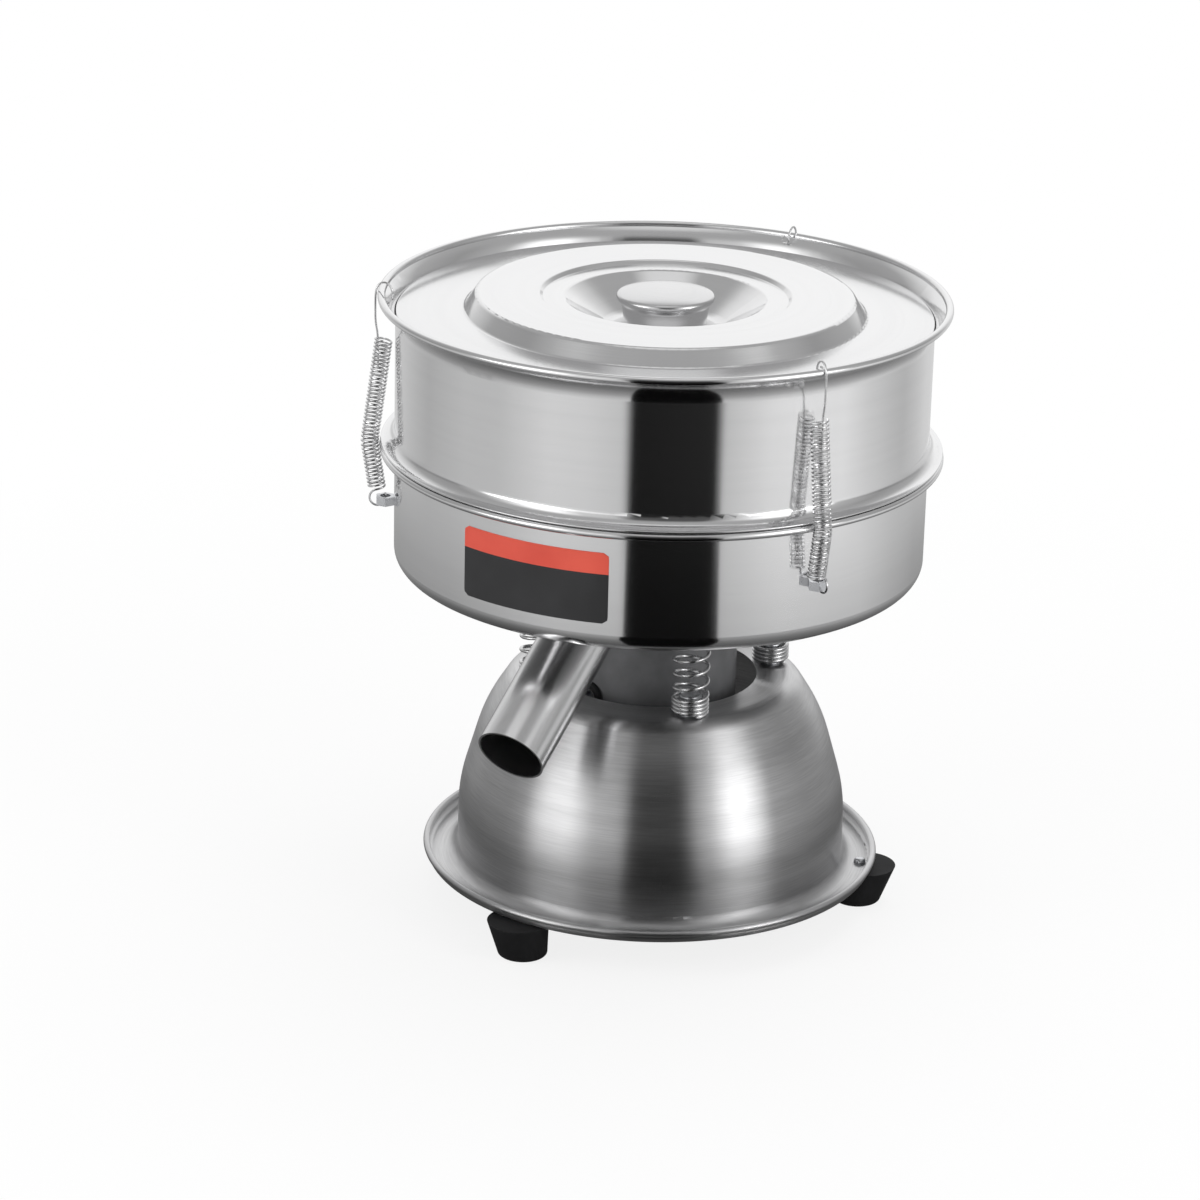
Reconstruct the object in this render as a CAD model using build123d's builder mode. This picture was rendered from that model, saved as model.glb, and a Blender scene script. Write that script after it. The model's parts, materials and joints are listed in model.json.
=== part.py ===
from build123d import *
import math
import os

# Sheet metal and general clearances
sheet = 1.0                  # spun sheet of drum, pan and lid
base_sheet = 1.0             # spun sheet of the base
seat_gap = 0.1               # flat seats between parts that separate
curve_gap = 0.3              # curved parts that separate
hole_clearance = 0.25        # radial room round screws and bolts

# Base
foot_height = 22.0
dome_height = 113.0          # from the gutter floor to the flat top
motor_room = 12.0            # hole in the top, round the motor
spring_margin = 11.0         # edge of the hole to the springs' circle
shoulder_margin = 12.5       # springs' circle to the corner of top and side, before rounding
dome_spread = 30.0           # that corner to the foot of the dome
dome_shoulder = 13.0         # radius of the corner
dome_waist_inset = 14.1      # upper bend of the side, inside the foot
dome_waist_share = 0.7817    # its height, as a share of the dome's
dome_bend_share = 0.36       # the same for the lower bend
dome_bend_ratio = 0.8333     # radius of both bends over the dome's height
gutter_fillet = 7.5
gutter_width = 17.7          # foot of the dome to the upturned lip
lip_height = 5.2             # gutter floor to the middle of the rolled rim
lip_fillet = 3.0
rim_roll = 2.0               # radius of the rolled rim

# Rubber feet and their screws
foot_angles = (218, 338, 98)
foot_top_radius = 17.5
foot_bottom_radius = 14.0
foot_top_inset = 3.2         # middle of the top disc inside the lip
foot_rake = 5.0              # how far the bottom disc sits further in
foot_edge = 2.0
foot_screw_inset = 6.6
foot_screw_radius = 2.5
foot_head_radius = 3.5
foot_head_height = 2.6
foot_head_round = 1.8
foot_pocket_radius = 6.0
foot_pocket_depth = 9.0
foot_nut_width = 8.0
foot_nut_height = 4.0

# Support springs and their pegs
spring_angles = (0, 90, 180, 270)
spring_height = 66.0         # dome top to pan bottom
spring_radius = 9.7          # coil, to the middle of the wire
spring_wire = 2.2
spring_open_turns = 6
spring_bottom_turns = 4
spring_top_turns = 2
spring_turn_gap = 0.06       # between closed turns
peg_radius = 6.5
peg_height = 12.0
peg_edge = 1.5

# Cord inlet in the base
inlet_angle = 73.0
inlet_height = 41.0
inlet_bore = 4.0
inlet_neck = 6.5
inlet_flange = 9.5
inlet_flange_thickness = 2.0
inlet_flange_round = 1.2
inlet_neck_length = 3.0      # through the wall, behind the flange

# Pan
drum_inner_radius = 150.0
pan_height = 69.6            # bottom to the middle of the flange
pan_corner = 10.0
pan_flange_fillet = 1.0
pan_bead = 2.2               # radius of the rolled rim
pan_flange_width = 7.4       # wall to the middle of the rolled rim

# Outlet spout: a mitred tube under the pan
spout_angle = 225.0
spout_radius = 19.5
spout_wall = 1.1
spout_inlet = 86.0           # distance of the inlet from the axis
spout_drop = 12.4            # straight stub under the pan
spout_slope = 33.0           # degrees below the horizon
spout_length = 93.0

# Screen
gasket_inset = 0.6           # gasket's bore behind the drum's inner wall
gasket_width = 4.3
mesh_thickness = 0.8
mesh_slot_depth = 2.9

# Drum
cove_radius = 7.5            # skirt that turns out over the pan rim
skirt_width = 8.5            # inner wall to the skirt's edge
skirt_gap = 0.6              # skirt edge above the pan bead
drum_wall_height = 61.8      # straight wall between cove and flare
flare_radius = 16.5
flare_turn = 60.0            # degrees turned out from upright
drum_bead = 2.2

# Lid
lid_edge_inset = 0.8         # middle of the lid's round edge inside the drum's outer wall
lid_annulus_rise = 1.0
lid_step_height = 9.5
lid_annulus_width = 37.6
lid_step_slope = 6.9
lid_ring_radius = 69.0
lid_ring_drop = 2.3
lid_ring_slope = 2.0
lid_recess_radius = 57.0
lid_floor_radius = 32.0
lid_recess_depth = 19.5
lid_bowl_fillet = 14.0
lid_edge_fillet = 2.5
lid_ring_fillet = 1.0

# Knob
knob_top_radius = 27.5
knob_lip_thickness = 3.4
knob_neck_radius = 24.6
knob_foot_radius = 22.8
knob_wall = 1.2
knob_top_round = 1.4
knob_boss_radius = 5.0
knob_rise = 0.5              # top above the lid's plateau
knob_screw_radius = 2.0
knob_head_radius = 4.5
knob_head_height = 3.0
knob_head_round = 1.8
knob_screw_length = 10.0

# Clamp springs, eye nuts and hooks
clamp_angles = (45, 165, 285)
coil_radius = 4.65           # to the middle of the wire
coil_wire = 1.1
coil_wall_gap = 1.2          # top of the coil to the drum
coil_bead_gap = 0.4          # bent part of the coil to the pan bead
coil_top_drop = 12.6         # top of the coil under the start of the flare
coil_bend_turns = 2
coil_bend_pitch = 2.28
coil_lower_turns = 12
coil_upper_turns = 24
coil_turns_per_run = 6
loop_radius = 4.7
loop_end_angle = 300.0
eye_nut_width = 10.0
eye_nut_height = 5.0
eye_nut_hole = 3.0
eye_nut_level = 36.0         # middle of the nut above the pan bottom
hook_wire = 1.2
hook_tail = 18.0             # wire hidden inside the coil
hook_jog = 7.0               # height over which the wire steps outwards
hook_jog_fillet = 6.0
hook_bead_gap = 0.6
hook_lid_gap = 1.3
hook_arch_rise = 1.2         # middle of the arch above the bead's middle

# Motor
motor_radius = 47.0
motor_wall = 2.5
motor_gasket_thickness = 1.5
motor_flange_margin = 2.5    # flange beyond the housing
motor_flange_thickness = 3.0
motor_cover_height = 7.0     # collar between the flange and the pan
motor_spigot = 4.0
motor_ear_radius = 6.5
motor_bolt_margin = 6.0      # bolts' circle beyond the housing
motor_bolt_angle = 250.0
motor_bolt_radius = 2.5
bolt_head_width = 8.0
bolt_head_height = 3.5
motor_nut_height = 4.0
bolt_tail = 2.0              # thread showing under the nut
cap_thickness = 4.0
cap_round = 2.0
press_gap = 0.05             # parts pressed into the housing
bracket_thickness = 5.0
bearing_boss_radius = 18.5
bearing_radius = 14.0
bearing_height = 8.0
shaft_radius = 6.0
shaft_clearance = 0.03
shaft_chamfer = 0.75
stator_height = 42.0
stator_ring = 21.0           # housing's bore to the stator's
air_gap = 0.5
winding_inset = 2.5          # windings behind the stator's bore
winding_margin = 3.5         # windings inside the housing's bore
winding_height = 6.0
winding_round = 2.5
bracket_room = 8.0           # stator to each bearing bracket
stator_below_flange = 36.0
stator_above_cap = 36.0
weight_margin = 8.5          # weights inside the housing's bore
weight_height = 10.0
weight_hub = 12.0
weight_room = 5.0            # weight to its bearing bracket
weight_screw_radius = 2.5
weight_screw_head = 4.2
weight_screw_head_height = 4.0
shaft_overhang = 3.0
gland_angle = 205.0
gland_level = 71.0           # under the pan bottom
gland_bore = 3.0
gland_bush = 4.5
gland_neck = 6.0
gland_flange = 8.0
gland_flange_thickness = 2.5
gland_flange_round = 1.2

# Levels and radii that follow from the values above
dome_hole_radius = motor_radius + motor_room
spring_centre = dome_hole_radius + spring_margin
motor_flange_radius = motor_radius + motor_flange_margin
motor_bolt_circle = motor_radius + motor_bolt_margin
dome_corner = spring_centre + shoulder_margin
dome_radius = dome_corner + dome_spread
dome_waist = dome_radius - dome_waist_inset
lip_radius = dome_radius + gutter_width
foot_top_centre = lip_radius - foot_top_inset
foot_screw_centre = lip_radius - foot_screw_inset
pan_bead_centre = drum_inner_radius + pan_flange_width
gasket_inner = drum_inner_radius + gasket_inset
gasket_outer = gasket_inner + gasket_width
skirt_radius = drum_inner_radius + skirt_width
gutter_top = foot_height + base_sheet
dome_top = gutter_top + dome_height
pan_bottom = dome_top + spring_height
wall_middle = drum_inner_radius + sheet / 2
wall_radius = drum_inner_radius + sheet
pan_flange = pan_bottom + pan_height
pan_bead_radius = pan_bead_centre + pan_bead
gasket_bottom = pan_flange + sheet / 2 + seat_gap
skirt_level = pan_flange + pan_bead + skirt_gap + sheet / 2
cove_centre = wall_middle + cove_radius
cove_level = skirt_level + cove_radius
gasket_top = (
    cove_level
    - math.sqrt((cove_radius + sheet / 2) ** 2 - (cove_centre - gasket_outer) ** 2)
    - curve_gap
)
gasket_height = gasket_top - gasket_bottom
flare_level = cove_level + drum_wall_height
flare_centre = wall_middle + flare_radius
bead_centre = flare_centre - flare_radius * math.cos(math.radians(flare_turn))
bead_level = flare_level + flare_radius * math.sin(math.radians(flare_turn))
lid_edge_radius = wall_radius - lid_edge_inset
lid_step_radius = lid_edge_radius - lid_annulus_width
lid_plateau_radius = lid_step_radius - lid_step_slope
lid_rest_reach = flare_radius + sheet + curve_gap
lid_edge_level = flare_level + math.sqrt(
    lid_rest_reach**2 - (flare_centre - lid_edge_radius) ** 2
)
lid_annulus = lid_edge_level + lid_annulus_rise
lid_plateau = lid_annulus + lid_step_height
lid_ring = lid_plateau - lid_ring_drop
lid_floor = lid_plateau - lid_recess_depth

os.makedirs("parts", exist_ok=True)


def save(part, name):
    part.label = name
    export_step(part, f"parts/{name}.step")


def around(angle):
    """Plane on the floor whose x axis points along the given angle."""
    return Plane.XY.rotated((0, 0, angle))


# Base: a spun dome with a hole in its top and a gutter with a rolled rim
dome_bend = dome_bend_ratio * dome_height
with BuildPart() as base_dome:
    with BuildSketch(Plane.XZ):
        with BuildLine():
            FilletPolyline(
                (dome_hole_radius, dome_top),
                (dome_corner, dome_top),
                (dome_waist, gutter_top + dome_waist_share * dome_height),
                (dome_radius, gutter_top + dome_bend_share * dome_height),
                (dome_radius, gutter_top),
                (lip_radius, gutter_top),
                (lip_radius, gutter_top + lip_height),
                radius=[dome_shoulder, dome_bend, dome_bend, gutter_fillet, lip_fillet],
            )
            offset(amount=base_sheet, side=Side.RIGHT)
        make_face()
        with Locations((lip_radius + base_sheet / 2, gutter_top + lip_height)):
            Circle(rim_roll)
    revolve(axis=Axis.Z)
    for angle in foot_angles:
        with BuildSketch(around(angle).offset(gutter_top)):
            with Locations((foot_screw_centre, 0)):
                Circle(foot_screw_radius + hole_clearance)
        extrude(amount=-2 * base_sheet, mode=Mode.SUBTRACT)
    inlet_plane = Plane(
        around(inlet_angle).from_local_coords((dome_radius, 0, inlet_height)),
        x_dir=(0, 0, 1),
        z_dir=around(inlet_angle).x_dir,
    )
    with BuildSketch(inlet_plane):
        Circle(inlet_neck)
    extrude(amount=inlet_flange, both=True, mode=Mode.SUBTRACT)
save(base_dome.part, "base_dome")

# Rubber feet: raked cones with a pocket for the nut underneath
for number, angle in enumerate(foot_angles, 1):
    with BuildPart() as rubber_foot:
        with BuildSketch(around(angle)):
            with Locations((foot_top_centre - foot_rake, 0)):
                Circle(foot_bottom_radius)
        with BuildSketch(around(angle).offset(foot_height)):
            with Locations((foot_top_centre, 0)):
                Circle(foot_top_radius)
        loft()
        fillet(rubber_foot.edges().group_by(Axis.Z)[0], foot_edge)
        with BuildSketch(around(angle)):
            with Locations((foot_screw_centre, 0)):
                Circle(foot_pocket_radius)
        extrude(amount=foot_pocket_depth, mode=Mode.SUBTRACT)
        with BuildSketch(around(angle)):
            with Locations((foot_screw_centre, 0)):
                Circle(foot_screw_radius + hole_clearance)
        extrude(amount=foot_height, mode=Mode.SUBTRACT)
    save(rubber_foot.part, f"rubber_foot_{number}")

with BuildPart() as foot_screws:
    for angle in foot_angles:
        with BuildSketch(around(angle).offset(gutter_top)):
            with Locations((foot_screw_centre, 0)):
                Circle(foot_head_radius)
        extrude(amount=foot_head_height)
    fillet(foot_screws.edges().group_by(Axis.Z)[-1], foot_head_round)
    for angle in foot_angles:
        with BuildSketch(around(angle).offset(gutter_top)):
            with Locations((foot_screw_centre, 0)):
                Circle(foot_screw_radius)
        extrude(amount=foot_pocket_depth - foot_nut_height - gutter_top)
save(foot_screws.part, "foot_screws")

with BuildPart() as foot_nuts:
    for angle in foot_angles:
        with BuildSketch(around(angle).offset(foot_pocket_depth)):
            with Locations((foot_screw_centre, 0)):
                RegularPolygon(foot_nut_width / 2, 6, major_radius=False)
                Circle(foot_screw_radius, mode=Mode.SUBTRACT)
        extrude(amount=-foot_nut_height)
save(foot_nuts.part, "foot_nuts")

# Support springs: closed turns below, open turns, closed turns above
closed_pitch = spring_wire + spring_turn_gap
spring_start = dome_top + spring_wire / 2
spring_end = pan_bottom - curve_gap - spring_wire / 2
bottom_run = spring_bottom_turns * closed_pitch
top_run = spring_top_turns * closed_pitch
open_run = spring_end - spring_start - bottom_run - top_run

with BuildPart() as lower_spring_pegs:
    with BuildSketch(Plane.XY.offset(dome_top)):
        with PolarLocations(spring_centre, len(spring_angles)):
            Circle(peg_radius)
    extrude(amount=peg_height)
    fillet(lower_spring_pegs.edges().group_by(Axis.Z)[-1], peg_edge)
save(lower_spring_pegs.part, "lower_spring_pegs")

with BuildPart() as upper_spring_pegs:
    with BuildSketch(Plane.XY.offset(pan_bottom)):
        with PolarLocations(spring_centre, len(spring_angles)):
            Circle(peg_radius)
    extrude(amount=-peg_height)
    fillet(upper_spring_pegs.edges().group_by(Axis.Z)[0], peg_edge)
save(upper_spring_pegs.part, "upper_spring_pegs")

for number, angle in enumerate(spring_angles, 1):
    middle = around(angle).from_local_coords((spring_centre, 0, 0))
    with BuildPart() as support_spring:
        with BuildLine() as spring_path:
            for level, run, turns in (
                (spring_start, bottom_run, spring_bottom_turns),
                (spring_start + bottom_run, open_run, spring_open_turns),
                (spring_start + bottom_run + open_run, top_run, spring_top_turns),
            ):
                Helix(run / turns, run, spring_radius, center=middle + Vector(0, 0, level))
        with BuildSketch(Plane(spring_path.line @ 0, z_dir=spring_path.line % 0)):
            Circle(spring_wire / 2)
        sweep(path=spring_path.line, is_frenet=True)
    save(support_spring.part, f"support_spring_{number}")

# Rubber grommet for the cord at the back of the base
with BuildPart() as cord_inlet:
    with BuildSketch(inlet_plane.offset(curve_gap)):
        Circle(inlet_neck - press_gap)
    extrude(amount=-inlet_neck_length)
    with BuildSketch(inlet_plane.offset(curve_gap)):
        Circle(inlet_flange)
    extrude(amount=inlet_flange_thickness)
    inlet_axis = Axis(inlet_plane.origin, inlet_plane.z_dir)
    fillet(cord_inlet.faces().sort_by(inlet_axis)[-1].edges(), inlet_flange_round)
    with BuildSketch(inlet_plane):
        Circle(inlet_bore)
    extrude(amount=inlet_flange, both=True, mode=Mode.SUBTRACT)
save(cord_inlet.part, "cord_inlet")

# Pan: flat bottom, upright wall and a flange with a rolled rim
spout_plane = around(spout_angle)
spout_spot = spout_plane.from_local_coords((spout_inlet, 0, pan_bottom))

with BuildPart() as lower_pan:
    with BuildSketch(Plane.XZ):
        with BuildLine():
            FilletPolyline(
                (0, pan_bottom),
                (wall_radius, pan_bottom),
                (wall_radius, pan_flange - sheet / 2),
                (pan_bead_centre, pan_flange - sheet / 2),
                radius=[pan_corner, pan_flange_fillet],
            )
            offset(amount=sheet, side=Side.LEFT)
        make_face()
        with Locations((pan_bead_centre, pan_flange)):
            Circle(pan_bead)
    revolve(axis=Axis.Z)
    with BuildSketch(Plane.XY.offset(pan_bottom)):
        with PolarLocations(motor_bolt_circle, 4, start_angle=motor_bolt_angle):
            Circle(motor_bolt_radius + hole_clearance)
        with Locations((spout_spot.X, spout_spot.Y)):
            Circle(spout_radius - spout_wall)
    extrude(amount=sheet, mode=Mode.SUBTRACT)
save(lower_pan.part, "lower_pan")

# Outlet: stub down from the pan, then a straight tube sloping outwards
slope = math.radians(spout_slope)
spout_elbow = spout_plane.from_local_coords((spout_inlet, 0, pan_bottom - spout_drop))
spout_mouth = spout_plane.from_local_coords(
    (
        spout_inlet + spout_length * math.cos(slope),
        0,
        pan_bottom - spout_drop - spout_length * math.sin(slope),
    )
)
with BuildPart() as outlet_spout:
    with BuildLine() as spout_path:
        Polyline(spout_spot, spout_elbow, spout_mouth)
    with BuildSketch(Plane(spout_spot, z_dir=(0, 0, -1))):
        Circle(spout_radius)
        Circle(spout_radius - spout_wall, mode=Mode.SUBTRACT)
    sweep(path=spout_path.line, transition=Transition.RIGHT)
save(outlet_spout.part, "outlet_spout")

# Screen: wire cloth held in a silicone gasket with a slot round its inside
mesh_level = gasket_bottom + gasket_height / 2
with BuildPart() as screen_gasket:
    with BuildSketch(Plane.XZ):
        with Locations(((gasket_inner + gasket_outer) / 2, mesh_level)):
            Rectangle(gasket_outer - gasket_inner, gasket_height)
        with Locations((gasket_inner + mesh_slot_depth / 2, mesh_level)):
            Rectangle(mesh_slot_depth, mesh_thickness, mode=Mode.SUBTRACT)
    revolve(axis=Axis.Z)
save(screen_gasket.part, "screen_gasket")

with BuildPart() as sieve_mesh:
    with BuildSketch(Plane.XY.offset(mesh_level)):
        Circle(gasket_inner + mesh_slot_depth)
    extrude(amount=mesh_thickness / 2, both=True)
save(sieve_mesh.part, "sieve_mesh")

# Drum: skirt that turns out over the pan rim, upright wall, flared top with a rolled rim
with BuildPart() as sieve_drum:
    with BuildSketch(Plane.XZ):
        with BuildLine():
            FilletPolyline(
                (skirt_radius, skirt_level),
                (wall_middle, skirt_level),
                (wall_middle, flare_level),
                radius=cove_radius,
            )
            CenterArc((flare_centre, flare_level), flare_radius, 180, -flare_turn)
            offset(amount=sheet / 2, side=Side.BOTH)
        make_face()
        with Locations((bead_centre, bead_level)):
            Circle(drum_bead)
    revolve(axis=Axis.Z)
save(sieve_drum.part, "sieve_drum")

# Lid: spun disc with a raised plateau, a step ring and a dished recess for the knob
with BuildPart() as lid:
    with BuildSketch(Plane.XZ):
        with BuildLine():
            FilletPolyline(
                (0, lid_floor),
                (lid_floor_radius, lid_floor),
                (lid_recess_radius, lid_ring),
                (lid_ring_radius, lid_ring),
                (lid_ring_radius + lid_ring_slope, lid_plateau),
                (lid_plateau_radius, lid_plateau),
                (lid_step_radius, lid_annulus),
                (lid_edge_radius, lid_edge_level),
                radius=[
                    lid_bowl_fillet,
                    lid_edge_fillet,
                    lid_ring_fillet,
                    lid_ring_fillet,
                    lid_edge_fillet,
                    lid_edge_fillet,
                ],
            )
            offset(amount=sheet / 2, side=Side.BOTH)
        make_face()
    revolve(axis=Axis.Z)
    with BuildSketch(Plane.XY.offset(lid_floor)):
        Circle(knob_screw_radius + hole_clearance)
    extrude(amount=sheet, both=True, mode=Mode.SUBTRACT)
save(lid.part, "lid")

# Knob: a turned cup, hollow underneath, with a boss for its screw
knob_foot = lid_floor + sheet / 2
knob_top = lid_plateau + sheet / 2 + knob_rise
with BuildPart() as lid_knob:
    with BuildSketch(Plane.XZ):
        with BuildLine():
            Polyline(
                (0, knob_foot),
                (knob_foot_radius, knob_foot),
                (knob_neck_radius, knob_top - 2 * knob_lip_thickness),
                (knob_top_radius, knob_top - knob_lip_thickness),
                (knob_top_radius, knob_top),
                (0, knob_top),
                close=True,
            )
        make_face()
    revolve(axis=Axis.Z)
    fillet(lid_knob.edges().group_by(Axis.Z)[-1], knob_top_round)
    with BuildSketch(Plane.XY.offset(knob_foot)):
        Circle(knob_foot_radius - knob_wall)
        Circle(knob_boss_radius, mode=Mode.SUBTRACT)
    extrude(amount=knob_top - knob_foot - knob_lip_thickness, mode=Mode.SUBTRACT)
    with BuildSketch(Plane.XY.offset(knob_foot)):
        Circle(knob_screw_radius)
    extrude(amount=knob_screw_length, mode=Mode.SUBTRACT)
save(lid_knob.part, "lid_knob")

with BuildPart() as knob_screw:
    with BuildSketch(Plane.XY.offset(lid_floor - sheet / 2)):
        Circle(knob_head_radius)
    extrude(amount=-knob_head_height)
    fillet(knob_screw.edges().group_by(Axis.Z)[0], knob_head_round)
    with BuildSketch(Plane.XY.offset(lid_floor - sheet / 2)):
        Circle(knob_screw_radius)
    extrude(amount=knob_screw_length)
save(knob_screw.part, "knob_screw")

# Clamp springs, drawn at angle zero: a full side loop through the eye nut, then a coil
# that bends round the pan rim and leans in against the drum
eye_level = pan_bottom + eye_nut_level
eye_centre = wall_radius + eye_nut_width / 2
loop_centre = Vector(
    eye_centre + loop_radius - coil_wire / 2,
    coil_radius,
    eye_level - eye_nut_height / 2 - curve_gap + loop_radius - coil_wire / 2,
)
coil_reach = coil_radius + coil_wire / 2
bend_run = coil_bend_turns * coil_bend_pitch
bend_centre = pan_bead_radius + coil_bead_gap + coil_reach
bend_start = Vector(bend_centre, 0, pan_flange - bend_run / 2)
bend_end = Vector(bend_centre, 0, pan_flange + bend_run / 2)
coil_top = Vector(wall_radius + coil_wall_gap + coil_reach, 0, flare_level - coil_top_drop)
lower_way = (bend_start - Vector(loop_centre.X, 0, loop_centre.Z)).normalized()
lower_side = Vector(lower_way.Z, 0, -lower_way.X)
coil_foot = Vector(loop_centre.X, 0, loop_centre.Z) + lower_way * loop_radius


def loop_point(degrees):
    turn = math.radians(degrees)
    return loop_centre + (lower_way * math.cos(turn) + lower_side * math.sin(turn)) * loop_radius


def coil_runs(start, end, turns):
    """Helix runs from start to end, each beginning at the same side of the coil."""
    way = end - start
    pitch = way.length / turns
    for first in range(0, turns, coil_turns_per_run):
        count = min(coil_turns_per_run, turns - first)
        centre = start + way * (first / turns)
        run = Helix(
            pitch, pitch * count, coil_radius, center=centre, direction=way, mode=Mode.PRIVATE
        )
        add(run.rotate(Axis(centre, way), 90))


with BuildPart() as clamp_spring:
    with BuildLine() as clamp_path:
        ThreePointArc(loop_point(loop_end_angle), loop_point(loop_end_angle / 2), loop_point(0))
        coil_runs(coil_foot, bend_start, coil_lower_turns)
        coil_runs(bend_start, bend_end, coil_bend_turns)
        coil_runs(bend_end, coil_top, coil_upper_turns)
    with BuildSketch(Plane(loop_point(loop_end_angle), z_dir=clamp_path.line % 0)):
        Circle(coil_wire / 2)
    sweep(path=clamp_path.line, is_frenet=True)

# Hook, drawn at angle zero: tail inside the coil, long leg, arch over the rim, short inner leg
hook_outer = bead_centre + drum_bead + hook_bead_gap + hook_wire / 2
hook_inner = lid_edge_radius + hook_lid_gap + hook_wire / 2
hook_tail_radius = coil_top.X + coil_radius - coil_wire / 2 - curve_gap - hook_wire / 2
arch_level = bead_level + hook_arch_rise
hook_tip = flare_level + math.sqrt(
    (flare_radius + sheet / 2 + curve_gap) ** 2 - (flare_centre - hook_inner - hook_wire / 2) ** 2
)
with BuildPart() as clamp_hook:
    with BuildLine(Plane.XZ) as hook_path:
        FilletPolyline(
            (hook_tail_radius, coil_top.Z - hook_tail),
            (hook_tail_radius, coil_top.Z + coil_wire),
            (hook_outer, coil_top.Z + coil_wire + hook_jog),
            (hook_outer, arch_level),
            radius=hook_jog_fillet,
        )
        ThreePointArc(
            (hook_outer, arch_level),
            ((hook_outer + hook_inner) / 2, arch_level + (hook_outer - hook_inner) / 2),
            (hook_inner, arch_level),
        )
        Line((hook_inner, arch_level), (hook_inner, hook_tip))
    with BuildSketch(Plane.XY.offset(coil_top.Z - hook_tail)):
        with Locations((hook_tail_radius, 0)):
            Circle(hook_wire / 2)
    sweep(path=hook_path.line)

for number, angle in enumerate(clamp_angles, 1):
    for shape, name in ((clamp_spring, "clamp_spring"), (clamp_hook, "clamp_hook")):
        with BuildPart() as placed:
            add(shape.part, rotation=(0, 0, angle))
        save(placed.part, f"{name}_{number}")

# Eye nuts welded to the pan wall, beside each station so that the side loop hangs straight
eye_turn = math.degrees(math.asin(coil_radius / eye_centre))
with BuildPart() as eye_nuts:
    for angle in clamp_angles:
        with BuildSketch(around(angle + eye_turn).offset(eye_level)):
            with Locations((eye_centre, 0)):
                RegularPolygon(eye_nut_width / 2, 6, major_radius=False, rotation=30)
                Circle(eye_nut_hole, mode=Mode.SUBTRACT)
        extrude(amount=eye_nut_height / 2, both=True)
save(eye_nuts.part, "eye_nuts")

# Motor mounting: gasket, then a flange with a collar and four ears
flange_top = pan_bottom - motor_gasket_thickness - motor_cover_height
flange_bottom = flange_top - motor_flange_thickness
motor_length = stator_below_flange + stator_height + stator_above_cap
housing_bottom = flange_bottom - motor_length
housing_bore = motor_radius - motor_wall
stator_bore = housing_bore - stator_ring
winding_inner = stator_bore + winding_inset
winding_outer = housing_bore - winding_margin
weight_radius = housing_bore - weight_margin


with BuildPart() as motor_gasket:
    with BuildSketch(Plane.XY.offset(pan_bottom)):
        Circle(motor_radius)
        Circle(housing_bore, mode=Mode.SUBTRACT)
    extrude(amount=-motor_gasket_thickness)
save(motor_gasket.part, "motor_gasket")

with BuildPart() as motor_flange:
    with BuildSketch(Plane.XY.offset(flange_bottom)):
        Circle(motor_flange_radius)
        with PolarLocations(motor_bolt_circle, 4, start_angle=motor_bolt_angle):
            Circle(motor_ear_radius)
            Circle(motor_bolt_radius + hole_clearance, mode=Mode.SUBTRACT)
    extrude(amount=motor_flange_thickness)
    with BuildSketch(Plane.XY.offset(flange_top)):
        Circle(motor_radius)
        Circle(housing_bore, mode=Mode.SUBTRACT)
    extrude(amount=motor_cover_height)
    with BuildSketch(Plane.XY.offset(flange_bottom)):
        Circle(housing_bore - press_gap)
        Circle(housing_bore - press_gap - motor_wall, mode=Mode.SUBTRACT)
    extrude(amount=-motor_spigot)
save(motor_flange.part, "motor_flange")

with BuildPart() as motor_bolts:
    with BuildSketch(Plane.XY.offset(pan_bottom + sheet)):
        with PolarLocations(motor_bolt_circle, 4, start_angle=motor_bolt_angle):
            RegularPolygon(bolt_head_width / 2, 6, major_radius=False)
    extrude(amount=bolt_head_height)
    with BuildSketch(Plane.XY.offset(flange_bottom - motor_nut_height - bolt_tail)):
        with PolarLocations(motor_bolt_circle, 4, start_angle=motor_bolt_angle):
            Circle(motor_bolt_radius)
    extrude(amount=pan_bottom + sheet - flange_bottom + motor_nut_height + bolt_tail)
save(motor_bolts.part, "motor_bolts")

with BuildPart() as motor_nuts:
    with BuildSketch(Plane.XY.offset(flange_bottom)):
        with PolarLocations(motor_bolt_circle, 4, start_angle=motor_bolt_angle):
            RegularPolygon(bolt_head_width / 2, 6, major_radius=False)
            Circle(motor_bolt_radius, mode=Mode.SUBTRACT)
    extrude(amount=-motor_nut_height)
save(motor_nuts.part, "motor_nuts")

# Motor housing with a cord gland, and its bottom cap
gland_plane = Plane(
    around(gland_angle).from_local_coords((motor_radius, 0, pan_bottom - gland_level)),
    z_dir=around(gland_angle).x_dir,
)
with BuildPart() as motor_housing:
    with BuildSketch(Plane.XY.offset(housing_bottom)):
        Circle(motor_radius)
        Circle(housing_bore, mode=Mode.SUBTRACT)
    extrude(amount=motor_length)
    with BuildSketch(gland_plane):
        Circle(gland_neck)
    extrude(amount=gland_flange, both=True, mode=Mode.SUBTRACT)
save(motor_housing.part, "motor_housing")

with BuildPart() as motor_cap:
    with BuildSketch(Plane.XY.offset(housing_bottom)):
        Circle(motor_radius)
    extrude(amount=-cap_thickness)
    fillet(motor_cap.edges().group_by(Axis.Z)[0], cap_round)
    with BuildSketch(Plane.XY.offset(housing_bottom)):
        Circle(housing_bore - press_gap)
        Circle(housing_bore - press_gap - motor_wall, mode=Mode.SUBTRACT)
    extrude(amount=motor_spigot)
save(motor_cap.part, "motor_cap")

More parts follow.
